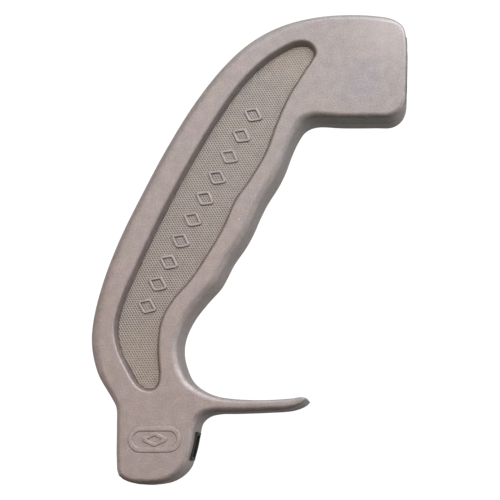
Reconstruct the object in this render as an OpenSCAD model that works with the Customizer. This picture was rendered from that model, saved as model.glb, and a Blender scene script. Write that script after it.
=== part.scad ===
// Pistol-grip handle of a take-down bow saw: one aluminium die casting that carries a flat
// spine bar in its head and a saw blade in its foot, with a finger guard cast in one with it.
//
// Frame: millimetres, +Z up, +X forwards, the way the spine bar and the blade leave the handle,
// Y across the thickness. The origin is the centre of the spine socket's mouth.

/* [Casting] */
// Thickness across the two side faces
body_t = 18; // [17:0.5:20]
// Edge rounding under the head
head_low_r = 1.9; // [1.2:0.1:3]
// Edge rounding beside the socket mouth in the head's front face
mouth_edge_r = 0.8; // [0.5:0.1:1.5]
// Edge rounding of the head block
head_edge_r = 2.6; // [1.5:0.1:3]
// Edge rounding along the back of the grip
back_edge_r = 4.5; // [3:0.5:5]
// Edge rounding along the finger side of the grip
finger_edge_r = 2.8; // [2:0.1:3.5]
// Edge rounding of the foot
foot_edge_r = 2; // [1.5:0.1:2.5]
// Edge rounding of the finger guard's upper edges
guard_top_r = 1.2; // [1:0.1:1.6]
// Edge rounding of the finger guard's lower edges
guard_low_r = 1.9; // [1:0.1:2.4]
// Draft of the outer walls in degrees, both ways from the parting line in the middle
wall_draft = 2; // [0.5:0.5:3]

/* [Grip recess] */
// Depth of the recess in each side face
recess_depth = 3.5; // [3:0.5:5]
// Draft of the recess walls in degrees
recess_draft = 13; // [5:1:18]

/* [Spine socket] */
// Height of the flat spine bar that the socket takes
bar_h = 22.2; // [20:0.1:23]
// Thickness of the flat spine bar
bar_t = 6.35; // [5:0.05:7]
// Play left round the bar, in all
bar_play = 0.45; // [0.2:0.05:0.6]
// Depth of the socket from the head's front face
socket_depth = 29; // [24:1:30]

/* [Blade slot] */
// Height of the slot in the casting
slot_h = 10; // [9:0.5:11]
// Width of the slot in the casting
slot_w = 7.5; // [7:0.5:10]
// Distance from the middle of the slot's slanted mouth to its floor
slot_depth = 19; // [16:1:22]

/* [Sleeves and pins] */
// Wall of the two black sleeves
sleeve_wall = 1.1; // [0.9:0.1:1.3]
// Diameter of both dowel pins
pin_d = 4; // [3:0.5:4]
// Wall left in front of each blind pin bore
pin_cover = 2.4; // [1.5:0.1:3]

/* [Hidden] */
$fn = 48;

ALU = [0.66, 0.61, 0.59];
NYLON = [0.08, 0.08, 0.08];
STEEL = [0.72, 0.73, 0.75];

eps = 0.5;
face_y = body_t / 2;
socket_h = bar_h + bar_play + 2 * sleeve_wall;
socket_w = bar_t + bar_play + 2 * sleeve_wall;
slot_mouth_x = -78.5;
slot_z = -137.4;
slot_mouth_slant = 13.2;
sleeve_proud = 0.3;
socket_mouth_x = 0.6;
socket_mouth_slant = 2;
stop_pin_x = 5 - socket_depth;
anchor_pin_x = slot_mouth_x - slot_depth / 2;
pin_chamfer = 0.4;
pin_fit = 0.01;
pin_sleeve_fit = 0.05;

// How finely each stretch of the casting's skin is divided
arc_steps = 3;
span_steps = 12;
grip_ribs = 100;
foot_ribs = 22;
guard_ribs = 28;
recess_ribs = 48;

// The casting's outline, as smooth curves through a few points. Each is [x, z, edge rounding].
// The back runs from the head's front face over the top and down to the foot's underside.
BACK = [
    [0.9, 9, mouth_edge_r], [0.1, 14.9, 1.2], [-2.3, 17.7, 2],
    [-5.3, 19.4, head_edge_r], [-11.6, 20.7, head_edge_r], [-21.6, 21.5, head_edge_r],
    [-33.6, 21, head_edge_r], [-46, 18.6, 4], [-57.4, 13.1, back_edge_r],
    [-67.4, 4.5, back_edge_r], [-78.6, -9.4, back_edge_r], [-89.1, -26.2, back_edge_r],
    [-99.4, -45.5, back_edge_r], [-108, -63.7, back_edge_r], [-113.6, -79.3, back_edge_r],
    [-116.5, -92.4, back_edge_r], [-116.6, -101.4, 4.2], [-113.8, -111.5, 3.2],
    [-108.9, -119.6, 2.5], [-106.8, -123.5, 2.5], [-106.4, -129.7, foot_edge_r],
    [-106.2, -142.5, foot_edge_r], [-105.3, -148, foot_edge_r], [-100.9, -150.5, foot_edge_r],
    [-95.4, -151.1, foot_edge_r]
];
// The front runs from the head's front face, under the head, down the finger side, out and back
// round the guard and down to the foot's underside.
FRONT = [
    [0.3, -7.5, mouth_edge_r], [-0.2, -13.2, 1.2], [-2.1, -17, 1.8],
    [-5.6, -19.1, head_low_r], [-11.9, -19.1, head_low_r], [-23.8, -18.7, head_low_r],
    [-34.1, -18.2, 2.6], [-37.9, -19.8, 3], [-40.4, -23.1, 3],
    [-43.2, -28.9, finger_edge_r], [-45.6, -35.3, finger_edge_r], [-48.1, -40.4, finger_edge_r],
    [-52.6, -47.5, finger_edge_r], [-55.3, -52.8, finger_edge_r], [-57.8, -58.5, finger_edge_r],
    [-60.8, -63.9, finger_edge_r], [-65.1, -70, finger_edge_r], [-67.7, -75, finger_edge_r],
    [-70, -79, finger_edge_r], [-75.2, -84.7, finger_edge_r], [-80.2, -91.1, 2.5],
    [-83.2, -97.6, 2.4], [-83.8, -102.8, 2.6], [-82.8, -107.9, 2.9], [-80.3, -113.3, 2.9],
    [-76.3, -116.8, 2.5], [-71, -119.3, 2.2], [-62.5, -120.7, 1.7],
    [-52.1, -121.1, guard_top_r], [-42.2, -120.6, guard_top_r],
    [-38.4, -120.2, 0.8], [-37.1, -121.2, 0.6], [-38.8, -123, 0.8],
    [-43.2, -124.7, guard_low_r - 0.4], [-53.1, -125.4, guard_low_r],
    [-63.9, -125.7, 2.1], [-70.1, -125.8, 2.4], [-74, -126.7, 2.6], [-76.6, -128.9, 2.4],
    [-77.6, -132, 1.6], [-78.4, -136.6, 1.2], [-79.6, -141.1, 1.2],
    [-81, -144.9, 1.7], [-83.9, -148.1, foot_edge_r], [-88.4, -150.4, foot_edge_r],
    [-93.5, -151.1, foot_edge_r]
];
// Places in FRONT of the guard's upper root, its tip and its lower root
UPPER_ROOT = 24;
TIP = 31;
LOWER_ROOT = 38;

// The rim of the grip recess, from its tip under the head down the back, round its lower end
// and up the finger side.
RECESS = [
    [-32.6, 6.8], [-34.6, 10.3], [-38.7, 11.4], [-45.8, 8.9], [-55.2, 2.4], [-64.5, -7.9],
    [-74.4, -22.9], [-84, -39.5], [-92.7, -56.3], [-100, -71.9], [-105.3, -84.3], [-107.6, -93.7],
    [-106.4, -102.2], [-102.9, -109.7], [-98.6, -116.2], [-94.4, -117.9], [-91.1, -116.5],
    [-90.1, -112.4], [-90.8, -102.2], [-89.6, -92.4], [-85.7, -85.1], [-79.2, -77.8], [-73, -68.6],
    [-66.8, -58], [-62.8, -48.9], [-56.6, -40], [-51.3, -30.9], [-47.3, -20.2], [-42.6, -9.7],
    [-37.8, -2], [-34.3, 3.3]
];
RECESS_LOW_END = 15;

// ---- Smooth curves ----

function knot(a, b) = sqrt(norm([b.x - a.x, b.y - a.y]));
function mix(a, b, ta, tb, t) = (a * (tb - t) + b * (t - ta)) / (tb - ta);

// Point at u (0 to 1) between b and c on the curve that passes through a, b, c and d
function on_span(a, b, c, d, u) =
    let (
        tb = knot(a, b),
        tc = tb + knot(b, c),
        td = tc + knot(c, d),
        t = tb + u * (tc - tb),
        p = mix(a, b, 0, tb, t),
        q = mix(b, c, tb, tc, t),
        r = mix(c, d, tc, td, t)
    )
    mix(mix(p, q, 0, tc, t), mix(q, r, tb, td, t), tb, tc, t);

// Smooth curve through the points, span_steps to a span; a closed one comes back to its start
function curve(pts, closed = false) =
    let (
        n = len(pts),
        at = function (i) closed ? pts[(i + n) % n]
            : i < 0 ? 2 * pts[0] - pts[1]
            : i >= n ? 2 * pts[n - 1] - pts[n - 2]
            : pts[i],
        spans = closed ? n : n - 1
    )
    [
        for (i = [0:spans - 1], k = [0:span_steps - 1])
            on_span(at(i - 1), at(i), at(i + 1), at(i + 2), k / span_steps),
        at(spans)
    ];

// The part of a curve between two of the points it was drawn through
function stretch(path, from, to) = [for (i = [from * span_steps:to * span_steps]) path[i]];

// The same path as n equal steps
function even(path, n) =
    let (
        m = len(path),
        run = [for (i = 0, s = 0; i < m; s = s + (i + 1 < m ? pow(knot(path[i], path[i + 1]), 2) : 0),
                    i = i + 1) s],
        tables = [for (a = [0:len(path[0]) - 1]) [for (i = [0:m - 1]) [run[i], path[i][a]]]]
    )
    [for (k = [0:n]) [for (table = tables) lookup(run[m - 1] * k / n, table)]];

function backwards(list) = [for (i = [len(list) - 1:-1:0]) list[i]];
function but_first(list) = [for (i = [1:len(list) - 1]) list[i]];
function count(from, by, n) = [for (k = [0:n]) from + by * k];

// Outward normals of a closed outline that runs anticlockwise
function normals(loop) =
    let (n = len(loop))
    [for (i = [0:n - 1])
        let (t = loop[(i + 1) % n] - loop[(i + n - 1) % n], l = norm([t.x, t.y]))
        [t.y / l, -t.x / l]];

// ---- Skins ----

// Triangles across the strip between two rows of points, clockwise as seen from -Y
function across(left, right) =
    let (n = len(left) - 1)
    [for (k = [0:n - 1], t = [[left[k], right[k], right[k + 1]], [left[k], right[k + 1], left[k + 1]]])
        if (t[0] != t[1] && t[1] != t[2] && t[0] != t[2]) t];

// A closed solid whose skin passes through level after level of one outline. A level is a list
// of [inset, y], one for each point; caps are the triangles that close the first level.
module skinned(loop, levels, caps) {
    n = len(loop);
    out = normals(loop);
    last = (len(levels) - 1) * n;
    points = [
        for (level = levels, i = [0:n - 1])
            [loop[i].x - out[i].x * level[i][0], level[i][1], loop[i].y - out[i].y * level[i][0]]
    ];
    walls = [
        for (j = [0:len(levels) - 2], i = [0:n - 1])
            let (a = j * n + i, b = j * n + (i + 1) % n)
            each [[a, b, b + n], [a, b + n, a + n]]
    ];
    polyhedron(points, concat(walls, caps, [for (t = caps) [t[2] + last, t[1] + last, t[0] + last]]));
}

// ---- The casting ----

back_row = even(curve(BACK), grip_ribs + foot_ribs);
front_path = curve(FRONT);
finger_row = even(stretch(front_path, 0, UPPER_ROOT), grip_ribs);
guard_top_row = even(stretch(front_path, UPPER_ROOT, TIP), guard_ribs);
guard_low_row = even(stretch(front_path, TIP, LOWER_ROOT), guard_ribs);
foot_row = even(stretch(front_path, LOWER_ROOT, len(FRONT) - 1), foot_ribs);
outline = concat(
    back_row,
    backwards(foot_row),
    but_first(backwards(guard_low_row)),
    but_first(backwards(guard_top_row)),
    but_first(backwards(finger_row))
);
last_point = len(outline) - 1;
low_root_point = len(back_row) + foot_ribs;
top_root_point = last_point - grip_ribs;

body_caps = concat(
    across(count(0, 1, grip_ribs), count(last_point, -1, grip_ribs)),
    [[grip_ribs, top_root_point, low_root_point]],
    across(count(grip_ribs, 1, foot_ribs), count(low_root_point, -1, foot_ribs)),
    across(count(low_root_point, 1, guard_ribs), count(top_root_point, -1, guard_ribs))
);

function rounding(side, turn) =
    [for (p = outline)
        [(face_y - p[2]) * tan(wall_draft) + p[2] * (1 - cos(turn)),
         side * (face_y - p[2] * (1 - sin(turn)))]];

body_levels = concat(
    [for (k = [arc_steps:-1:0]) rounding(-1, 90 * k / arc_steps)],
    [[for (p = outline) [0, 0]]],
    [for (k = [0:arc_steps]) rounding(1, 90 * k / arc_steps)]
);

recess_path = curve(RECESS, closed = true);
recess_loop = concat(
    even(stretch(recess_path, 0, RECESS_LOW_END), recess_ribs),
    but_first(even(stretch(recess_path, RECESS_LOW_END, len(RECESS)), recess_ribs))
);
recess_outline = [for (i = [0:2 * recess_ribs - 1]) recess_loop[i]];
recess_caps = across(count(0, 1, recess_ribs),
                     [for (k = [0:recess_ribs]) (2 * recess_ribs - k) % (2 * recess_ribs)]);

// Drafted pocket that cuts the recess into the side face at -Y
module recess_pocket() {
    levels = [for (depth = [-eps, recess_depth])
        [for (p = recess_outline) [depth * tan(recess_draft), depth - face_y]]];
    skinned(recess_outline, levels, recess_caps);
}

// Blind bore for a dowel, open in the side face at +Y
module pin_bore(x, z, r) {
    translate([x, pin_cover - face_y, z])
        rotate([-90, 0, 0])
            cylinder(r = r, h = body_t - pin_cover + eps);
}

module handle_casting() {
    color(ALU)
        difference() {
            skinned(outline, body_levels, body_caps);
            recess_pocket();
            mirror([0, 1, 0]) recess_pocket();
            translate([-socket_depth, -socket_w / 2, -socket_h / 2])
                cube([socket_depth + 4 * eps, socket_w, socket_h]);
            translate([slot_mouth_x - slot_depth, -slot_w / 2, slot_z - slot_h / 2])
                cube([slot_depth + slot_h / 2, slot_w, slot_h]);
            pin_bore(stop_pin_x, 0, pin_d / 2 + pin_fit);
            pin_bore(anchor_pin_x, slot_z, pin_d / 2 + pin_fit);
        }
}

// ---- Sleeves and pins ----

// Open-ended rectangular sleeve from x_floor to x_mouth, the middle of its slanted front end,
// with a cross bore at pin_x
module sleeve(x_floor, x_mouth, z, w, h, pin_x, slant = 0) {
    length = x_mouth - x_floor + h * tan(slant);
    color(NYLON)
        difference() {
            translate([x_floor, -w / 2, z - h / 2])
                cube([length, w, h]);
            translate([x_floor - eps, sleeve_wall - w / 2, z - h / 2 + sleeve_wall])
                cube([length + 2 * eps, w - 2 * sleeve_wall, h - 2 * sleeve_wall]);
            if (slant > 0)
                translate([x_mouth, 0, z])
                    rotate([0, slant, 0])
                        translate([0, -w, -h])
                            cube([h, 2 * w, 2 * h]);
            pin_bore(pin_x, z, pin_d / 2 + pin_sleeve_fit);
        }
}

module spine_socket_sleeve() {
    sleeve(-socket_depth, socket_mouth_x, 0, socket_w, socket_h, stop_pin_x,
           socket_mouth_slant);
}

module blade_slot_sleeve() {
    sleeve(slot_mouth_x - slot_depth, slot_mouth_x + sleeve_proud, slot_z, slot_w, slot_h,
           anchor_pin_x, slot_mouth_slant);
}

// Chamfered dowel across the handle at x, z, its outer end just below the side face at +Y
module dowel(x, z) {
    r = pin_d / 2;
    start = pin_cover - face_y + pin_chamfer / 2;
    length = face_y - pin_chamfer / 2 - start;
    color(STEEL)
        translate([x, start, z])
            rotate([-90, 0, 0]) {
                cylinder(r1 = r - pin_chamfer, r2 = r, h = pin_chamfer);
                translate([0, 0, pin_chamfer])
                    cylinder(r = r, h = length - 2 * pin_chamfer);
                translate([0, 0, length - pin_chamfer])
                    cylinder(r1 = r, r2 = r - pin_chamfer, h = pin_chamfer);
            }
}

module spine_stop_pin() {
    dowel(stop_pin_x, 0);
}

module blade_anchor_pin() {
    dowel(anchor_pin_x, slot_z);
}

handle_casting();
spine_socket_sleeve();
spine_stop_pin();
blade_slot_sleeve();
blade_anchor_pin();
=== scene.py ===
"""The handle of a take-down bow saw: an aluminium casting with a textured grip recess in each
side, a lined socket for the spine bar, a lined slot for the blade and two dowel pins."""

import math

import bmesh
import bpy
import numpy as np
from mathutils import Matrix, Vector
from mathutils.geometry import delaunay_2d_cdt


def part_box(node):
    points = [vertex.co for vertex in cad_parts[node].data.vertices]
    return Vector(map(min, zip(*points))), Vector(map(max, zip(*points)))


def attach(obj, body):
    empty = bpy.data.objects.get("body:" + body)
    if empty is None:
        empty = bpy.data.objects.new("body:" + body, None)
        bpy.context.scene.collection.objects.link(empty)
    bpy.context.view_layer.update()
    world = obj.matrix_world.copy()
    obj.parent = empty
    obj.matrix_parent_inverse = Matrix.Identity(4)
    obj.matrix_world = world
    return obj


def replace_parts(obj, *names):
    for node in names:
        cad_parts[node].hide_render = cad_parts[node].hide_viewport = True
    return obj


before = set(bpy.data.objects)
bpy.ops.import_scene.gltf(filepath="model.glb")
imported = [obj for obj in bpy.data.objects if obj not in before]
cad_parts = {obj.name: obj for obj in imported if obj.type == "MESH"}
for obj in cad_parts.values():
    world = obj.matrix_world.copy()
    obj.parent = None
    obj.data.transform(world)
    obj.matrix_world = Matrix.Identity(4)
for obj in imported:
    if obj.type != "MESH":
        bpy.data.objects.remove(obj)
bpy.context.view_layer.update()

# All lengths below are millimetres; a mesh is scaled to metres when it is made.
MM = 0.001
BODY = "root"
CASTING = "handle_casting"
SOCKET_SLEEVE = "spine_socket_sleeve"
SLOT_SLEEVE = "blade_slot_sleeve"
PINS = ("spine_stop_pin", "blade_anchor_pin")

FACE_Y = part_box(CASTING)[1].y / MM

# Outer walls: draft both ways from a faint parting line in the middle
WALL_DRAFT = math.tan(math.radians(2))
PARTING_RIDGE = 0.05

# Slants of the socket's and the blade slot's mouths
SOCKET_SLANT = math.tan(math.radians(2))
SLOT_SLANT = math.tan(math.radians(13.2))

# Grip recess
RECESS_DEPTH = 3.5
RECESS_DRAFT = math.radians(13)
RIM_ROUND = 0.9
FLOOR_FILLET = 0.25

# Textured panel on the recess floor: pits on a hexagonal lattice, in rows along X. The lattice is
# the sum of three waves, each an (angle, strength) pair.
PANEL_LAP = 0.25
PANEL_RISE = 0.2
PANEL_SUNK = 0.3
PANEL_LIP = 0.12
PANEL_EDGE_STEP = 0.4
PIT_PITCH = 0.97
PIT_DEPTH = 0.3
PIT_FADE = 0.25
PIT_WAVES = ((math.radians(30), 1.4), (math.radians(90), 1.1), (math.radians(150), 0.7))
ROW_SHARE = math.sqrt(0.75)

# Raised lozenges down the panel, and the raised ring on the foot
LOZENGE_PATH = ((-56.6, -15.5), (-69.3, -37.4), (-81.4, -59.0), (-90.4, -74.7), (-95.8, -86.6))
LOZENGE_COUNT = 10
LOZENGE_ALONG = 6.4
LOZENGE_ACROSS = 8.2
LOZENGE_STROKE = 1.2
LOZENGE_RISE = 0.8
LOZENGE_SUNK = 0.05
LOZENGE_CORNER = 0.7
LOZENGE_ROUND = (0.42, 0.6)
RING_CENTRE = (-91.9, -135.1)
RING_SIZE = (19.7, 9.4)
RING_STROKE = 1.9
RING_RISE = 0.28
RING_SUNK = 0.15
RING_STEP = 0.5
RING_ROUND = (0.5, 0.26)
MARK_SHARE = (0.9, 0.42)
MARK_CORNER = 0.5
MARK_STROKE = 0.8 * RING_STROKE
MARK_ROUND = (0.45, 0.26)

# Soft breaks round the mouths, and how far their cutters reach out past the casting
MOUTH_BREAK = 0.2
BORE_BREAK = 0.3
SOCKET_REACH = 2
SLOT_REACH = 8

# The socket's liner stops this far behind the head's front face
SOCKET_SHORT = 0.3

SKIN_STEP = 0.7
EDGE_STEPS = 8
EDGE_PASSES = 4


# ---- Plane curves ----


def box_mm(node):
    """Lowest and highest corner of a CAD node in millimetres."""
    low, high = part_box(node)
    return np.array(low) / MM, np.array(high) / MM


def area(loop):
    """Signed area of a closed loop of (x, z) points, positive where it runs anticlockwise."""
    x, z = loop.T
    return 0.5 * float(np.sum(x * np.roll(z, -1) - z * np.roll(x, -1)))


def cad_loops(node, y):
    """Closed outlines of a CAD node's section at y, the largest first, all anticlockwise."""
    bm = bmesh.new()
    bm.from_mesh(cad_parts[node].data)
    bmesh.ops.remove_doubles(bm, verts=bm.verts, dist=1e-6)
    whole = bm.verts[:] + bm.edges[:] + bm.faces[:]
    bmesh.ops.bisect_plane(
        bm, geom=whole, dist=1e-8, plane_co=(0, y * MM, 0), plane_no=(0, 1, 0),
        clear_inner=True, clear_outer=True,
    )
    loops, seen = [], set()
    for first in bm.verts:
        if first in seen:
            continue
        walk, at = [], first
        while at is not None:
            seen.add(at)
            walk.append((at.co.x / MM, at.co.z / MM))
            ways = (edge.other_vert(at) for edge in at.link_edges)
            at = next((v for v in ways if v not in seen), None)
        if len(walk) > 2:
            loop = np.array(walk)
            loops.append(loop if area(loop) > 0 else loop[::-1])
    bm.free()
    return sorted(loops, key=lambda loop: -area(loop))


def without_flats(loop, tolerance=0.001):
    """Drops each point that lies on the line between its neighbours."""
    before, after = np.roll(loop, 1, 0), np.roll(loop, -1, 0)
    chord, arm = after - before, loop - before
    off = np.abs(chord[:, 0] * arm[:, 1] - chord[:, 1] * arm[:, 0])
    return loop[off > tolerance * np.hypot(*chord.T)]


def smooth_loop(loop, step):
    """Even points, about step apart, on the smooth closed curve through a loop's points."""
    a, b, c, d = (np.roll(loop, k, 0)[:, None] for k in (1, 0, -1, -2))
    ab, bc, cd = (np.sqrt(np.linalg.norm(q - p, axis=2))[..., None]
                  for p, q in ((a, b), (b, c), (c, d)))
    t0, t1, t2, t3 = 0 * ab, ab, ab + bc, ab + bc + cd
    t = t1 + np.linspace(0, 1, 12, endpoint=False)[None, :, None] * bc

    def mix(p, q, tp, tq):
        return (p * (tq - t) + q * (t - tp)) / (tq - tp)

    p, q, r = mix(a, b, t0, t1), mix(b, c, t1, t2), mix(c, d, t2, t3)
    dense = mix(mix(p, q, t0, t2), mix(q, r, t1, t3), t1, t2).reshape(-1, 2)
    return even_loop(dense, step)


def even_loop(loop, step):
    """The same closed loop as equal steps of about the given length."""
    closed = np.vstack([loop, loop[:1]])
    run = np.concatenate([[0], np.cumsum(np.hypot(*np.diff(closed, axis=0).T))])
    at = np.arange(round(run[-1] / step)) * run[-1] / round(run[-1] / step)
    return np.stack([np.interp(at, run, closed[:, k]) for k in (0, 1)], 1)


def outward(loop):
    """Unit normals that point out of an anticlockwise loop."""
    along = np.roll(loop, -1, 0) - np.roll(loop, 1, 0)
    along /= np.hypot(*along.T)[:, None]
    return np.stack([along[:, 1], -along[:, 0]], 1)


def distance_to(points, loop):
    """Distance from each point to a closed loop's nearest edge."""
    a, edge = loop, np.roll(loop, -1, 0) - loop
    arm = points[:, None] - a[None]
    share = np.clip(np.sum(arm * edge, 2) / np.maximum(np.sum(edge * edge, 1), 1e-12), 0, 1)
    return np.min(np.linalg.norm(arm - share[..., None] * edge, axis=2), 1)


def inside(points, loop):
    """Whether each point lies inside a closed loop."""
    x, z = points[:, :1], points[:, 1:]
    (x0, z0), (x1, z1) = loop.T, np.roll(loop, -1, 0).T
    spans = (z0 > z) != (z1 > z)
    slope = (x1 - x0) / np.where(z1 == z0, 1e-12, z1 - z0)
    return np.sum(spans & (x < x0 + (z - z0) * slope), 1) % 2 == 1


def bend(p0, p1, p2, steps=4):
    """Points of a rounding from p0 to p2 whose sides meet at p1."""
    t = np.linspace(0, 1, steps + 1)[:, None]
    return (1 - t) ** 2 * np.array(p0) + 2 * t * (1 - t) * np.array(p1) + t**2 * np.array(p2)


def tightest_bend(loop):
    """Radius of the curve at each point of an anticlockwise loop, endless where it is hollow."""
    along = np.roll(loop, -1, 0) - loop
    heading = np.arctan2(along[:, 1], along[:, 0])
    turn = (heading - np.roll(heading, 1) + math.pi) % (2 * math.pi) - math.pi
    turn = sum(np.roll(turn, k) for k in (-1, 0, 1)) / 3
    return np.hypot(*along.T) / np.maximum(turn, 1e-6)


def rounded_box_loop(width, height, radius, steps=6):
    """Anticlockwise rectangle with round corners about the origin."""
    loop = []
    for k, (sx, sz) in enumerate(((1, 1), (-1, 1), (-1, -1), (1, -1))):
        centre = np.array([sx * (width / 2 - radius), sz * (height / 2 - radius)])
        for turn in np.linspace(0, math.pi / 2, steps + 1) + k * math.pi / 2:
            loop.append(centre + radius * np.array([math.cos(turn), math.sin(turn)]))
    return np.array(loop)


# ---- Meshes ----


class Skin:
    """Points and faces of one mesh in millimetres, gathered ring by ring."""

    def __init__(self):
        self.points = []
        self.faces = []

    def ring(self, points):
        start = len(self.points)
        self.points.extend(tuple(p) for p in points)
        return list(range(start, len(self.points)))

    def flat_ring(self, loop, y):
        """A ring in planes of constant y; y may differ from point to point."""
        return self.ring(np.stack([loop[:, 0], np.broadcast_to(y, len(loop)), loop[:, 1]], 1))

    def bridge(self, a, b):
        n = len(a)
        self.faces.extend((a[i], a[(i + 1) % n], b[(i + 1) % n], b[i]) for i in range(n))

    def bridge_all(self, rings):
        for a, b in zip(rings, rings[1:]):
            self.bridge(a, b)

    def cap(self, ring):
        self.faces.append(tuple(ring))

    def fill(self, rings, free=()):
        """Triangles over what the first flat ring bounds, less what the other rings bound."""
        ids = [i for ring in rings for i in ring] + list(free)
        flat = np.array([self.points[i] for i in ids])[:, ::2]
        edges, start = [], 0
        for ring in rings:
            n = len(ring)
            edges += [(start + k, start + (k + 1) % n) for k in range(n)]
            start += n
        made = delaunay_2d_cdt([Vector(p) for p in flat], edges, [], 0, 1e-6)
        triangles, origin = made[2], made[3]
        triangles = np.array([[origin[i][0] for i in t] for t in triangles])
        middle = flat[triangles].mean(1)
        loops = [np.array([self.points[i] for i in ring])[:, ::2] for ring in rings]
        keep = inside(middle, loops[0])
        for hole in loops[1:]:
            keep &= ~inside(middle, hole)
        self.faces.extend(tuple(ids[i] for i in t) for t in triangles[keep])

    def mirrored(self):
        """The same skin on the other side of the handle."""
        other = Skin()
        other.points = [(x, -y, z) for x, y, z in self.points]
        other.faces = [tuple(reversed(f)) for f in self.faces]
        return other

    def join(self, other):
        start = len(self.points)
        self.points.extend(other.points)
        self.faces.extend(tuple(start + i for i in f) for f in other.faces)

    def mesh(self, name):
        mesh = bpy.data.meshes.new(name)
        mesh.from_pydata((np.array(self.points) * MM).tolist(), [], self.faces)
        bm = bmesh.new()
        bm.from_mesh(mesh)
        bmesh.ops.recalc_face_normals(bm, faces=bm.faces)
        bm.to_mesh(mesh)
        bm.free()
        return mesh


def add_piece(name, mesh, material, sharp=40):
    """Makes a mesh a finished piece of the handle."""
    mesh.polygons.foreach_set("use_smooth", [True] * len(mesh.polygons))
    mesh.set_sharp_from_angle(angle=math.radians(sharp))
    mesh.materials.clear()
    mesh.materials.append(material)
    piece = bpy.data.objects.new(name, mesh)
    bpy.context.scene.collection.objects.link(piece)
    weigh = piece.modifiers.new("weigh", "WEIGHTED_NORMAL")
    weigh.keep_sharp = True
    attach(piece, BODY)
    return piece


def cut(mesh, cutters):
    """The mesh less every cutter, each a Skin."""
    base = bpy.data.objects.new("base", mesh)
    bpy.context.scene.collection.objects.link(base)
    tools = []
    for cutter in cutters:
        tool = bpy.data.objects.new("tool", cutter.mesh("tool"))
        bpy.context.scene.collection.objects.link(tool)
        tools.append(tool)
        knife = base.modifiers.new("knife", "BOOLEAN")
        knife.operation = "DIFFERENCE"
        knife.solver = "MANIFOLD"
        knife.object = tool
    bpy.context.view_layer.update()
    depsgraph = bpy.context.evaluated_depsgraph_get()
    result = bpy.data.meshes.new_from_object(base.evaluated_get(depsgraph))
    for made in tools + [base]:
        bpy.data.objects.remove(made)
    return result


# ---- Cutters ----


def block(corners_low, corners_high):
    """Six-sided solid between two quads of four points each."""
    skin = Skin()
    low, high = skin.ring(corners_low), skin.ring(corners_high)
    skin.bridge(low, high)
    skin.cap(low)
    skin.cap(high)
    return skin


def box_cutter(low, high):
    """Block between two opposite corners."""
    ys_zs = ((low[1], low[2]), (high[1], low[2]), (high[1], high[2]), (low[1], high[2]))
    return block([(low[0], y, z) for y, z in ys_zs], [(high[0], y, z) for y, z in ys_zs])


def flare_cutter(centre, normal, width, height, size):
    """Breaks the sharp edge round a rectangular mouth in a face with the given (x, z) normal."""
    normal = np.array([normal[0], 0, normal[1]])
    up = np.array([-normal[2], 0, normal[0]])
    across = np.array([0, 1, 0])
    quads = []
    for out, grow in ((-size, 0), (size, 2 * size)):
        middle = np.array(centre) + out * normal
        half_w, half_h = (width / 2 + grow) * across, (height / 2 + grow) * up
        quads.append([middle - half_w - half_h, middle + half_w - half_h,
                      middle + half_w + half_h, middle - half_w + half_h])
    return block(*quads)


def lathe(profile, x, z, steps=48):
    """Solid of revolution about the line along Y through x, z; profile is (radius, y) pairs."""
    skin = Skin()
    turn = np.arange(steps) * 2 * math.pi / steps
    circle = np.stack([np.cos(turn), np.sin(turn)], 1)
    rings = [skin.flat_ring(circle * r + (x, z), y) for r, y in profile]
    skin.bridge_all(rings)
    skin.cap(rings[0])
    skin.cap(rings[-1])
    return skin


def bore_cutter(pin, play=0.01, deeper=0.1):
    """Blind bore for a pin, open at +Y with a chamfered mouth."""
    low, high = box_mm(pin)
    x, z = (low[0] + high[0]) / 2, (low[2] + high[2]) / 2
    r = (high[0] - low[0]) / 2 + play
    profile = ((r, low[1] - deeper), (r, FACE_Y - BORE_BREAK), (r + 2 * BORE_BREAK, FACE_Y + BORE_BREAK))
    return lathe(profile, x, z)


# ---- The casting ----

# The CAD's outline is read between its middle plane and its side face, and taken back to the
# middle plane; its edge radii come from how far the flat side face lies inside that outline.
CUT_Y = FACE_Y / 2 + 0.2
section = smooth_loop(without_flats(cad_loops(CASTING, -CUT_Y)[0]), SKIN_STEP)
outline = section + outward(section) * CUT_Y * WALL_DRAFT
near_face = cad_loops(CASTING, -(FACE_Y - 0.01))
rim = smooth_loop(without_flats(near_face[1]), SKIN_STEP)
FACET_GAP = 0.04
edge_r = (distance_to(outline, near_face[0]) + FACET_GAP - FACE_Y * WALL_DRAFT) / (1 - WALL_DRAFT)
edge_limit = 0.5 * tightest_bend(outline)
for _ in range(EDGE_PASSES):
    edge_r = np.minimum(sum(np.roll(edge_r, k) for k in (-1, 0, 1)) / 3, edge_limit)


def recess_profile():
    """(inset from the rim, depth) pairs from the side face down to the recess floor."""
    slope = math.tan(RECESS_DRAFT)
    low = RECESS_DEPTH - FLOOR_FILLET
    top = bend((-RIM_ROUND, 0), (0, 0), (RIM_ROUND * slope, RIM_ROUND))
    foot = bend((low * slope, low), (RECESS_DEPTH * slope, RECESS_DEPTH),
                (RECESS_DEPTH * slope + FLOOR_FILLET, RECESS_DEPTH))
    return np.vstack([top, foot])


def side_face(skin, outer, side):
    """The flat side face round its recess, and the recess."""
    out = outward(rim)
    rings = [skin.flat_ring(rim - out * inset, side * (FACE_Y - depth))
             for inset, depth in recess_profile()]
    skin.fill([outer, rings[0]])
    skin.bridge_all(rings)
    skin.fill([rings[-1]])


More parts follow.
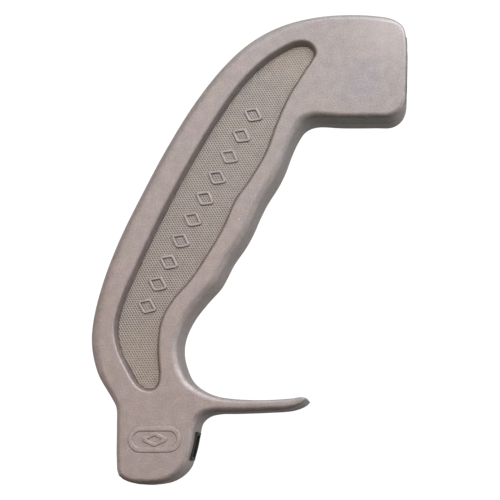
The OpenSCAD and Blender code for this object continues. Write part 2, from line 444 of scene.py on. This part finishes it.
def casting_skin():
    """The whole casting without its mouths and bores, ring by ring from -Y to +Y."""
    skin = Skin()
    out = outward(outline)
    levels = [((FACE_Y - edge_r) * WALL_DRAFT + edge_r * (1 - math.cos(turn)),
               FACE_Y - edge_r * (1 - math.sin(turn)))
              for turn in np.linspace(math.pi / 2, 0, EDGE_STEPS + 1)]
    levels += [(y * WALL_DRAFT - ridge, y) for y, ridge in ((2.5, 0), (0.3, 0), (0.12, PARTING_RIDGE))]
    rings = [skin.flat_ring(outline - out * np.reshape(inset, (-1, 1)), side * y)
             for side, half in ((-1, levels), (1, levels[::-1])) for inset, y in half]
    skin.bridge_all(rings)
    side_face(skin, rings[0], -1)
    side_face(skin, rings[-1], 1)
    return skin


def mouth_in_outline(z_low, z_high):
    """Centre, outward normal and length of the foot's front face between two heights."""
    foot_middle, margin = -90, 3
    front = outline[(outline[:, 0] > foot_middle) & (outline[:, 1] < z_high + margin)]
    front = front[np.argsort(front[:, 1])]
    low, high = (np.array([np.interp(z, front[:, 1], front[:, 0]), z]) for z in (z_low, z_high))
    along = (high - low) / np.linalg.norm(high - low)
    return (low + high) / 2, np.array([along[1], -along[0]]), np.linalg.norm(high - low)


def casting_cutters():
    """What is taken out of the casting: the socket, the slot, their flares and the pins' bores."""
    low, high = box_mm(SOCKET_SLEEVE)
    width, height = (high - low)[1:]
    cutters = [box_cutter(low, high + np.array([SOCKET_REACH, 0, 0])),
               flare_cutter((0, 0, 0), (1, 0), width, height, MOUTH_BREAK)]
    low, high = box_mm(SLOT_SLEEVE)
    cutters.append(box_cutter(low, high + np.array([SLOT_REACH, 0, 0])))
    centre, normal, height = mouth_in_outline(low[2], high[2])
    cutters.append(flare_cutter((centre[0], 0, centre[1]), normal, high[1] - low[1], height, MOUTH_BREAK))
    return cutters + [bore_cutter(pin) for pin in PINS]


# ---- Relief on the casting ----


def panel_skin():
    """Textured panel on the recess floor at -Y, and each point's height from pit (0) to land (1)."""
    inset = RECESS_DEPTH * math.tan(RECESS_DRAFT) + FLOOR_FILLET - PANEL_LAP
    edge = even_loop(rim - outward(rim) * inset, PANEL_EDGE_STEP)
    floor_y = RECESS_DEPTH - FACE_Y
    top_y = floor_y - PANEL_RISE
    step = PIT_PITCH / 3
    row_step = step * ROW_SHARE
    low, high = edge.min(0), edge.max(0)
    rows = np.arange(math.floor(low[1] / row_step), high[1] / row_step)
    columns = np.arange(math.floor(low[0] / step), high[0] / step)
    column, row = (g.ravel() for g in np.meshgrid(columns, rows))
    grid = np.stack([(column + row % 2 / 2) * step, row * step * ROW_SHARE], 1)
    grid = grid[inside(grid, edge)]
    grid = grid[distance_to(grid, edge) > 0.7 * step]
    wave = 4 * math.pi / (math.sqrt(3) * PIT_PITCH)
    pit = sum(share * np.cos(wave * (grid @ (math.cos(t), math.sin(t)))) for t, share in PIT_WAVES)
    fade = np.clip(distance_to(grid, edge) / PIT_FADE, 0, 1)
    height = 1 - (pit - pit.min()) / (pit.max() - pit.min()) * fade
    skin = Skin()
    sunk = skin.flat_ring(edge, floor_y + PANEL_SUNK)
    foot = skin.flat_ring(edge, floor_y - PANEL_RISE + PANEL_LIP)
    shoulder = skin.flat_ring(edge - outward(edge) * PANEL_LIP, top_y)
    free = skin.flat_ring(grid, top_y - height * PIT_DEPTH)
    skin.bridge_all([sunk, foot, shoulder])
    skin.fill([shoulder], free)
    skin.fill([sunk])
    relief = np.full(len(skin.points), 0.9)
    relief[free] = height
    return skin, relief


def stroke_skin(loop, stroke, base, rise, round_off):
    """Raised closed stroke of even width along a loop; round_off is its rounding (across, down)."""
    skin = Skin()
    out = outward(loop)
    half = stroke / 2
    across, down = round_off
    rounding = bend((half, rise - down), (half - 0.05, rise), (half - across, rise))
    flank = np.vstack([[(half, 0)], rounding])
    profile = np.vstack([flank, flank[::-1] * (-1, 1)])
    rings = [skin.flat_ring(loop + out * offset, base - up) for offset, up in profile]
    skin.bridge_all(rings + rings[:1])
    return skin


def path_points(path, count):
    """Even points, and the way along, on the smooth open curve through a few points."""
    path = np.array(path)
    run = np.concatenate([[0], np.cumsum(np.hypot(*np.diff(path, axis=0).T))])
    fits = [np.polyfit(run, path[:, k], 3) for k in (0, 1)]
    at = np.linspace(0, run[-1], count)
    points = np.stack([np.polyval(f, at) for f in fits], 1)
    way = np.stack([np.polyval(np.polyder(f), at) for f in fits], 1)
    return points, way / np.hypot(*way.T)[:, None]


def lozenge_loop(along, across, radius):
    """Anticlockwise lozenge about the origin with round corners."""
    corners = np.array([(along / 2, 0), (0, across / 2), (-along / 2, 0), (0, -across / 2)])
    loop = []
    for k, corner in enumerate(corners):
        before, after = corners[k - 1] - corner, corners[(k + 1) % 4] - corner
        before, after = (radius * arm / np.linalg.norm(arm) for arm in (before, after))
        loop.extend(bend(corner + before, corner, corner + after))
    return np.array(loop)


def lozenges_skin():
    """The row of raised lozenges down the panel at -Y."""
    skin = Skin()
    base = RECESS_DEPTH - FACE_Y - PANEL_RISE + LOZENGE_SUNK
    loop = lozenge_loop(LOZENGE_ALONG - LOZENGE_STROKE, LOZENGE_ACROSS - LOZENGE_STROKE, LOZENGE_CORNER)
    for centre, way in zip(*path_points(LOZENGE_PATH, LOZENGE_COUNT)):
        turned = loop @ np.array([way, (-way[1], way[0])]) + centre
        skin.join(stroke_skin(turned, LOZENGE_STROKE, base, LOZENGE_RISE, LOZENGE_ROUND))
    return skin


def foot_ring_skin():
    """Raised oval ring round a small lozenge on the foot's side face at -Y."""
    width, height = RING_SIZE
    base = RING_SUNK - FACE_Y
    rise = RING_RISE + RING_SUNK
    oval = rounded_box_loop(width - RING_STROKE, height - RING_STROKE, (height - RING_STROKE) / 2.001)
    skin = stroke_skin(even_loop(oval, RING_STEP) + RING_CENTRE, RING_STROKE, base, rise, RING_ROUND)
    along, across = (share * height for share in MARK_SHARE)
    mark = lozenge_loop(along, across, MARK_CORNER) + RING_CENTRE
    skin.join(stroke_skin(mark, MARK_STROKE, base, rise, MARK_ROUND))
    return skin


def standing(skin):
    """How far up the side of its stroke each point of a raised mark is."""
    y = np.abs(np.array(skin.points)[:, 1])
    return (y - y.min()) / (y.max() - y.min())


# ---- Sleeves and pins ----


def sleeve_skin(node, slant, short, wall=1.1, fit=0.02, soft=0.2):
    """Open rectangular sleeve along X with softened edges and a slanted front end."""
    low, high = box_mm(node)
    high[0] -= short
    centre = (low + high) / 2
    size = high - low - 2 * fit
    outer = rounded_box_loop(size[1], size[2], 0.25)
    inner = rounded_box_loop(size[1] - 2 * wall, size[2] - 2 * wall, 0.5)
    skin = Skin()
    rings = []
    ends = ((low[0], soft), (low[0] + soft, 0), (high[0] - soft, 0),
            (high[0] - soft * 0.3, soft * 0.3), (high[0], soft))
    for loop, sign in ((outer, 1), (inner, -1)):
        out = outward(loop)
        for x, inset in ends[::sign]:
            y, z = (loop - sign * out * inset + centre[1:]).T
            lean = slant * (high[2] - z) * (x > centre[0])
            rings.append(skin.ring(np.stack([x - lean, y, z], 1)))
    skin.bridge_all(rings + rings[:1])
    return skin


def pin_skin(pin, fit=0.02, chamfer=0.35):
    """Ground dowel with chamfered ends and a small centre dimple in its outer end."""
    low, high = box_mm(pin)
    x, z = (low[0] + high[0]) / 2, (low[2] + high[2]) / 2
    r = (high[0] - low[0]) / 2 - fit
    profile = [(0.6, low[1]), (r - chamfer, low[1]), (r, low[1] + chamfer), (r, high[1] - chamfer),
               (r - chamfer * 0.3, high[1] - chamfer * 0.25), (r - chamfer, high[1]), (0.5, high[1]),
               (0.42, high[1] - 0.05), (0.1, high[1] - 0.3)]
    return lathe(profile, x, z)


# ---- Materials ----


class Shader:
    """A procedural material, built one node at a time in object space."""

    def __init__(self, name):
        self.material = bpy.data.materials.new(name)
        self.material.use_nodes = True
        self.tree = self.material.node_tree
        self.surface = self.tree.nodes["Principled BSDF"]
        self.place = self.node("ShaderNodeTexCoord").outputs["Object"]

    def link(self, socket, value):
        if isinstance(value, bpy.types.NodeSocket):
            self.tree.links.new(value, socket)
        else:
            socket.default_value = value

    def node(self, kind, inputs=(), **settings):
        made = self.tree.nodes.new(kind)
        for key, value in settings.items():
            setattr(made, key, value)
        for key, value in dict(inputs).items():
            self.link(made.inputs[key], value)
        return made

    def noise(self, size, detail=3.0, roughness=0.5, stretch=None, warp=0.0):
        """Noise whose largest blotches are about size millimetres across."""
        place = self.place
        if stretch:
            place = self.node("ShaderNodeMapping", {"Vector": place, "Scale": stretch}).outputs[0]
        settings = {"Vector": place, "Scale": 1 / (size * MM), "Detail": detail,
                    "Roughness": roughness, "Distortion": warp}
        return self.node("ShaderNodeTexNoise", settings).outputs["Fac"]

    def spots(self, spacing):
        """Distance to the nearest of scattered points, in units of their spacing."""
        settings = {"Vector": self.place, "Scale": 1 / (spacing * MM)}
        return self.node("ShaderNodeTexVoronoi", settings).outputs["Distance"]

    def near(self, x, z, reach):
        """One at a point of the side view, falling to nothing at reach millimetres from it."""
        settings = {0: self.place, 1: (1, 0, 1)}
        flat = self.node("ShaderNodeVectorMath", settings, operation="MULTIPLY").outputs[0]
        settings = {0: flat, 1: (x * MM, 0, z * MM)}
        away = self.node("ShaderNodeVectorMath", settings, operation="DISTANCE").outputs["Value"]
        return self.span(away, 0, reach * MM, 1.0, 0.0)

    def height(self, low, high):
        """Nothing at one height in millimetres, rising to one at another."""
        split = self.node("ShaderNodeSeparateXYZ", {0: self.place}).outputs[2]
        return self.span(split, low * MM, high * MM)

    def stored(self, name):
        """A mesh attribute's value."""
        return self.node("ShaderNodeAttribute", attribute_name=name).outputs["Fac"]

    def sums(self, operation, a, b):
        """One arithmetic step on two values."""
        return self.node("ShaderNodeMath", {0: a, 1: b}, operation=operation).outputs[0]

    def times(self, a, b):
        return self.sums("MULTIPLY", a, b)

    def span(self, value, low, high, to_low=0.0, to_high=1.0):
        """Carries the values from low to high smoothly over to another range."""
        settings = {"Value": value, "From Min": low, "From Max": high, "To Min": to_low, "To Max": to_high}
        return self.node("ShaderNodeMapRange", settings, interpolation_type="SMOOTHSTEP").outputs[0]

    def mix(self, share, a, b, blend="MIX"):
        """Colour a with a share of colour b."""
        settings = {0: share, 6: (*a, 1) if isinstance(a, tuple) else a,
                    7: (*b, 1) if isinstance(b, tuple) else b}
        return self.node("ShaderNodeMix", settings, data_type="RGBA", blend_type=blend).outputs[2]

    def bumps(self, *layers):
        """Chains (height socket, depth in millimetres) layers into the surface normal."""
        normal = None
        for height, depth in layers:
            settings = {"Height": height, "Distance": depth * MM, "Strength": 1.0}
            if normal:
                settings["Normal"] = normal
            normal = self.node("ShaderNodeBump", settings).outputs[0]
        self.link(self.surface.inputs["Normal"], normal)

    def finish(self, colour, roughness, metallic, **fixed):
        """Sets the surface's sockets; those named in fixed get plain numbers."""
        self.link(self.surface.inputs["Base Color"], colour)
        self.link(self.surface.inputs["Roughness"], roughness)
        self.surface.inputs["Metallic"].default_value = metallic
        for name, value in fixed.items():
            self.surface.inputs[name.replace("_", " ")].default_value = value
        return self.material


# The casting's tones
WARM = (0.450, 0.366, 0.332)
PINK = (0.441, 0.3605, 0.344)
# Cool tone, painted where the cool light from above and the right falls
COOL = (0.408, 0.362, 0.348)
VIOLET = (0.428, 0.358, 0.362)
# Blue of a painted sheen on the head
SHEEN_BLUE = (0.384, 0.348, 0.368)
RUSTY = (0.46, 0.37, 0.30)
# Lighter tone for worn edges and for a painted highlight on the head's top corner
WEAR_AND_HIGHLIGHT_TONE = (0.60, 0.53, 0.50)
NICKED = (0.66, 0.61, 0.58)
PITTED = (0.16, 0.13, 0.12)
# Painted shade along the foot of the raised marks' flanks
FLANK_FOOT_SHADE = (0.14, 0.12, 0.105)
PANEL_LAND = (0.63, 0.57, 0.50)
# Painted shade in the panel's pits
PANEL_PIT_SHADE = (0.050, 0.042, 0.035)

# Where some of them gather in the side view: x, z and reach. The guard's cool tone is a painted tint of
# light, the head's bluish patch a painted sheen and its bright top corner a painted highlight
GUARD_COOL_LIGHT_TINT = (-28, -122, 48)
HEAD_SHEEN = (-15, -5, 15)
HEAD_HIGHLIGHT = (-3, 15, 22)
PANEL_RUST = ((-40, 5, 16), (-97, -107, 20))

# Heights over which the casting turns from pink to cool: a painted tint of the cool light from above
COOL_LIGHT_TINT_HEIGHTS = (-125, 5)
CAST_METALLIC = 0.8


def casting_colour(shader):
    """Tumbled cast aluminium: warm and cool blotches, fine grain, nicks and scattered dark pits, with a
    painted tint of the cool light towards the top and round the guard and a painted bluish sheen on the
    head.
    """
    # Cooler towards the top and round the guard: a painted tint of the cool light from above and the right
    colour = shader.mix(shader.height(*COOL_LIGHT_TINT_HEIGHTS), PINK, COOL)
    colour = shader.mix(shader.times(shader.near(*GUARD_COOL_LIGHT_TINT), 0.8), colour, COOL)
    blotch = shader.span(shader.noise(10, 5, 0.62, warp=0.3), 0.3, 0.7)
    colour = shader.mix(shader.times(blotch, 0.55), colour, WARM)
    blotch = shader.span(shader.noise(7, 4, 0.6, warp=0.5), 0.45, 0.75, 0.0, 0.8)
    colour = shader.mix(blotch, colour, VIOLET)
    # Painted bluish sheen on the head, broken up by a soft cloud
    sheen_cloud = shader.span(shader.noise(5, 4, 0.6), 0.2, 0.6, 0.3, 0.75)
    colour = shader.mix(shader.times(shader.near(*HEAD_SHEEN), sheen_cloud), colour, SHEEN_BLUE)
    mottle = shader.span(shader.noise(3.2, 4, 0.65), 0.25, 0.75, 0.91, 1.08)
    grain = shader.span(shader.noise(0.6, 2, 0.6), 0.25, 0.75, 0.86, 1.12)
    shade = shader.times(mottle, grain)
    grey = shader.node("ShaderNodeCombineColor", {0: shade, 1: shade, 2: shade}).outputs[0]
    colour = shader.mix(1.0, colour, grey, "MULTIPLY")
    pit = shader.span(shader.spots(3.1), 0.05, 0.1, 1.0, 0.0)
    pit = shader.times(pit, shader.span(shader.noise(9, 1), 0.5, 0.62))
    nick = shader.span(shader.spots(7.3), 0.03, 0.07, 1.0, 0.0)
    nick = shader.times(nick, shader.span(shader.noise(17, 1), 0.48, 0.56, 0.0, 0.6))
    colour = shader.mix(nick, colour, NICKED)
    return shader.mix(shader.times(pit, 0.45), colour, PITTED), pit


def casting_material():
    """The casting: brighter on rounded edges for wear and round the head's top corner as a painted
    highlight, with soft waves, grain and pits as bumps.
    """
    shader = Shader("cast_aluminium_tumbled")
    colour, pit = casting_colour(shader)
    wear_and_highlight = shader.times(shader.stored("wear"), shader.span(shader.noise(3.5, 4, 0.7), 0.35, 0.65))
    # Adds a painted highlight round the head's top corner to the edge wear
    wear_and_highlight = shader.sums("MAXIMUM", wear_and_highlight, shader.near(*HEAD_HIGHLIGHT))
    colour = shader.mix(shader.times(wear_and_highlight, 0.25), colour, WEAR_AND_HIGHLIGHT_TONE)
    roughness = shader.span(shader.noise(1.6, 3, 0.6), 0.3, 0.7, 0.50, 0.62)
    roughness = shader.sums("SUBTRACT", roughness, shader.times(wear_and_highlight, 0.1))
    shader.bumps((shader.noise(7, 2), 0.10), (shader.noise(0.9, 3, 0.6), 0.05),
                 (shader.noise(0.3, 2), 0.02), (pit, -0.06))
    return shader.finish(colour, roughness, CAST_METALLIC)


def panel_material():
    """The textured panel: painted shade in its pits, rubbed lands and two rusty patches."""
    shader = Shader("cast_aluminium_textured")
    colour, _ = casting_colour(shader)
    colour = shader.mix(shader.span(shader.noise(2.4, 3, 0.6), 0.45, 0.75, 0.0, 0.5), colour, RUSTY)
    # Painted shade, darkest in the pits
    painted_shade = shader.span(shader.stored("relief"), 0.3, 1.0, 1.0, 0.0)
    colour = shader.mix(painted_shade, colour, PANEL_PIT_SHADE)
    colour = shader.mix(0.23, colour, PANEL_LAND)
    rust = shader.sums("MAXIMUM", *(shader.near(*place) for place in PANEL_RUST))
    colour = shader.mix(shader.times(rust, 0.3), colour, RUSTY)
    roughness = shader.span(shader.noise(1.1, 3, 0.6), 0.3, 0.7, 0.46, 0.6)
    shader.bumps((shader.noise(0.35, 2, 0.6), 0.02))
    return shader.finish(colour, roughness, CAST_METALLIC)


def relief_material():
    """The raised marks: the casting's colour, with painted shade along the foot of their flanks."""
    shader = Shader("cast_aluminium_raised")
    colour, pit = casting_colour(shader)
    # Painted shade, darkest at the foot of each flank
    painted_shade = shader.span(shader.stored("relief"), 0.25, 0.92, 0.85, 0.0)
    colour = shader.mix(painted_shade, colour, FLANK_FOOT_SHADE)
    roughness = shader.span(shader.noise(0.8, 3, 0.6), 0.3, 0.7, 0.45, 0.58)
    shader.bumps((shader.noise(0.6, 3, 0.6), 0.03), (pit, -0.03))
    return shader.finish(colour, roughness, CAST_METALLIC)


def nylon_material():
    """Moulded black nylon with a fine matt surface and a little dust."""
    shader = Shader("nylon_black_moulded")
    shade = shader.span(shader.noise(3.0, 4, 0.6), 0.3, 0.7)
    colour = shader.mix(shade, (0.014, 0.013, 0.013), (0.028, 0.026, 0.025))
    dust = shader.span(shader.noise(0.5, 3, 0.7), 0.6, 0.75, 0.0, 0.25)
    colour = shader.mix(dust, colour, (0.11, 0.10, 0.095))
    roughness = shader.span(shader.noise(0.7, 3, 0.6), 0.3, 0.7, 0.48, 0.66)
    shader.bumps((shader.noise(0.25, 2, 0.6), 0.02))
    return shader.finish(colour, roughness, 0.0)


def steel_material():
    """Ground steel with fine rings round the dowel and faint stains."""
    shader = Shader("steel_ground_dowel")
    rings = shader.noise(0.4, 3, 0.6, stretch=(1.0, 6.0, 1.0))
    colour = shader.mix(shader.span(rings, 0.3, 0.7), (0.44, 0.43, 0.42), (0.60, 0.59, 0.57))
    stain = shader.span(shader.noise(1.8, 3, 0.6), 0.55, 0.75, 0.0, 0.35)
    colour = shader.mix(stain, colour, (0.25, 0.22, 0.20))
    roughness = shader.span(shader.noise(0.3, 3, 0.6, stretch=(1.0, 6.0, 1.0)), 0.3, 0.7, 0.24, 0.38)
    shader.bumps((rings, 0.008))
    return shader.finish(colour, roughness, 1.0)


def floor_material():
    """Evenly pale studio floor."""
    shader = Shader("floor_pale")
    colour = shader.mix(shader.noise(400, 2), (0.82, 0.82, 0.82), (0.86, 0.86, 0.855))
    shader.link(shader.surface.inputs["Emission Color"], colour)
    return shader.finish(colour, shader.span(shader.noise(60, 3), 0.3, 0.7, 0.85, 0.95), 0.0,
                         Emission_Strength=0.8, Specular_IOR_Level=0.1)


# ---- The handle ----


def set_values(mesh, name, values):
    """Stores one number at each point of a mesh, for its material."""
    layer = mesh.attributes.new(name, "FLOAT", "POINT")
    layer.data.foreach_set("value", values.astype(np.float32))


def body_wear(body):
    """How much wear each point of the casting shows: only where an edge is rounded over."""
    depth = FACE_Y - np.abs(np.array(body.points)[:, 1])
    return np.clip(depth / 0.4, 0, 1) * np.clip((1.8 - depth) / 1.2, 0, 1)


def add_casting():
    body = casting_skin()
    mesh = body.mesh(CASTING + "_skin")
    set_values(mesh, "wear", body_wear(body))
    mesh = cut(mesh, casting_cutters())
    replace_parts(add_piece("casting_body", mesh, casting_material(), 35), CASTING)


def add_reliefs():
    """The textured panel and its lozenges on both sides, and the ring on the near side only."""
    texture, raised = panel_material(), relief_material()
    panel, panel_relief = panel_skin()
    lozenges, ring = lozenges_skin(), foot_ring_skin()
    reliefs = (
        ("grip_texture", panel, panel_relief, texture),
        ("grip_lozenges", lozenges, standing(lozenges), raised),
        ("foot_ring", ring, standing(ring), raised),
    )
    for side, parts in (("near", reliefs), ("far", reliefs[:2])):
        for name, skin, heights, material in parts:
            mesh = (skin if side == "near" else skin.mirrored()).mesh(name)
            set_values(mesh, "relief", heights)
            add_piece(f"{name}_{side}", mesh, material, 60)


def add_fittings():
    """The sleeves' liners and the dowels."""
    nylon, steel = nylon_material(), steel_material()
    for node, slant, short in ((SOCKET_SLEEVE, SOCKET_SLANT, SOCKET_SHORT), (SLOT_SLEEVE, SLOT_SLANT, 0)):
        liner = sleeve_skin(node, slant, short).mesh(node)
        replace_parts(add_piece(node + "_liner", liner, nylon), node)
    for node in PINS:
        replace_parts(add_piece(node + "_dowel", pin_skin(node).mesh(node), steel, 25), node)


# ---- Stage ----

TARGET = (-0.0586, 0.0, -0.0655)
CAMERA_AZ, CAMERA_EL = math.radians(8.01), math.radians(-10.08)
CAMERA_AWAY = 0.5
CAMERA_LENS = 97.27
FLOOR_Z = -0.172
FLOOR_RADIUS = 2.0


def direction(az, el):
    """Unit vector towards an azimuth right of the front view and an elevation."""
    return Vector((math.sin(az) * math.cos(el), -math.cos(az) * math.cos(el), math.sin(el)))


def add_camera():
    data = bpy.data.cameras.new("camera")
    data.lens = CAMERA_LENS
    data.sensor_width = 36
    data.clip_start, data.clip_end = 0.01, 50
    camera = bpy.data.objects.new("camera", data)
    bpy.context.scene.collection.objects.link(camera)
    toward = direction(CAMERA_AZ, CAMERA_EL)
    camera.location = Vector(TARGET) + CAMERA_AWAY * toward
    camera.rotation_euler = toward.to_track_quat("Z", "Y").to_euler()
    bpy.context.scene.camera = camera


# name, azimuth, elevation, power in watts, colour
SOFTBOXES = (
    ("light_front", 0, -3, 3.1, (1.0, 0.96, 0.93)),
    ("light_left", -30, 25, 3.7, (1.0, 0.88, 0.77)),
    ("light_right_high", 45, 45, 9.6, (0.83, 0.91, 1.0)),
    ("light_top", 0, 60, 3.4, (0.70, 0.86, 1.0)),
    ("light_side", -90, 0, 2.3, (1.0, 0.93, 0.93)),
    ("light_back", 180, 0, 1.3, (0.95, 1.0, 0.97)),
    ("light_back_high", -150, 50, 3.4, (1.0, 0.98, 0.95)),
)
SOFTBOX_AWAY = 1.0
SOFTBOX_WIDTH = 1.2


def add_light(name, az, el, watts, colour):
    """A square soft box that faces the handle."""
    data = bpy.data.lights.new(name, "AREA")
    data.shape = "SQUARE"
    data.size = SOFTBOX_WIDTH
    data.energy = watts
    data.color = colour
    light = bpy.data.objects.new(name, data)
    bpy.context.scene.collection.objects.link(light)
    toward = direction(math.radians(az), math.radians(el))
    light.location = Vector(TARGET) + SOFTBOX_AWAY * toward
    light.rotation_euler = toward.to_track_quat("Z", "Y").to_euler()


# Light from the surroundings, per direction: from +X, -X, +Y (behind), -Y (in front), +Z, -Z
GLOW = (1.0, 0.08, 0.1, 0.03, 0.1, 0.11)
GLOW_COLOUR = (0.95, 1.0, 0.985)
BACKGROUND = 1.05


def add_world():
    """White behind everything for the camera, and a smooth light that differs by direction."""
    world = bpy.data.worlds.new("studio")
    bpy.context.scene.world = world
    world.use_nodes = True
    tree = world.node_tree

    def sums(operation, a, b):
        node = tree.nodes.new("ShaderNodeMath")
        node.operation = operation
        for socket, value in zip(node.inputs, (a, b)):
            if isinstance(value, bpy.types.NodeSocket):
                tree.links.new(value, socket)
            else:
                socket.default_value = value
        return node.outputs[0]

    split = tree.nodes.new("ShaderNodeSeparateXYZ")
    tree.links.new(tree.nodes.new("ShaderNodeTexCoord").outputs["Generated"], split.inputs[0])
    total = 0.0
    for k, strength in enumerate(GLOW):
        lobe = sums("MAXIMUM", sums("MULTIPLY", split.outputs[k // 2], (1, -1)[k % 2]), 0.0)
        total = sums("ADD", total, sums("MULTIPLY", sums("MULTIPLY", lobe, lobe), strength))
    seen = tree.nodes.new("ShaderNodeLightPath").outputs["Is Camera Ray"]
    lit = sums("MULTIPLY", total, sums("SUBTRACT", 1.0, seen))
    shown = sums("ADD", lit, sums("MULTIPLY", seen, BACKGROUND))
    tint = tree.nodes.new("ShaderNodeMix")
    tint.data_type = "RGBA"
    tree.links.new(seen, tint.inputs[0])
    tint.inputs[6].default_value = (*GLOW_COLOUR, 1)
    tint.inputs[7].default_value = (1, 1, 1, 1)
    shade = tree.nodes["Background"]
    tree.links.new(tint.outputs[2], shade.inputs["Color"])
    tree.links.new(shown, shade.inputs["Strength"])


def add_floor(sides=64):
    """Round floor that neither tints nor mirrors in the handle."""
    skin = Skin()
    turn = np.arange(sides) * 2 * math.pi / sides
    circle = np.stack([np.cos(turn), np.sin(turn)], 1) * FLOOR_RADIUS / MM
    rings = [skin.ring(np.column_stack([circle * share, np.full(sides, FLOOR_Z / MM)]))
             for share in (0.02, 0.2, 0.5, 1.0)]
    skin.bridge_all(rings)
    skin.cap(rings[0])
    mesh = skin.mesh("floor")
    mesh.materials.append(floor_material())
    floor = bpy.data.objects.new("floor", mesh)
    bpy.context.scene.collection.objects.link(floor)
    floor.visible_diffuse = False
    floor.visible_glossy = False


add_camera()
add_casting()
add_reliefs()
add_fittings()
for box in SOFTBOXES:
    add_light(*box)
add_world()
add_floor()
bpy.context.scene.view_settings.view_transform = "Standard"
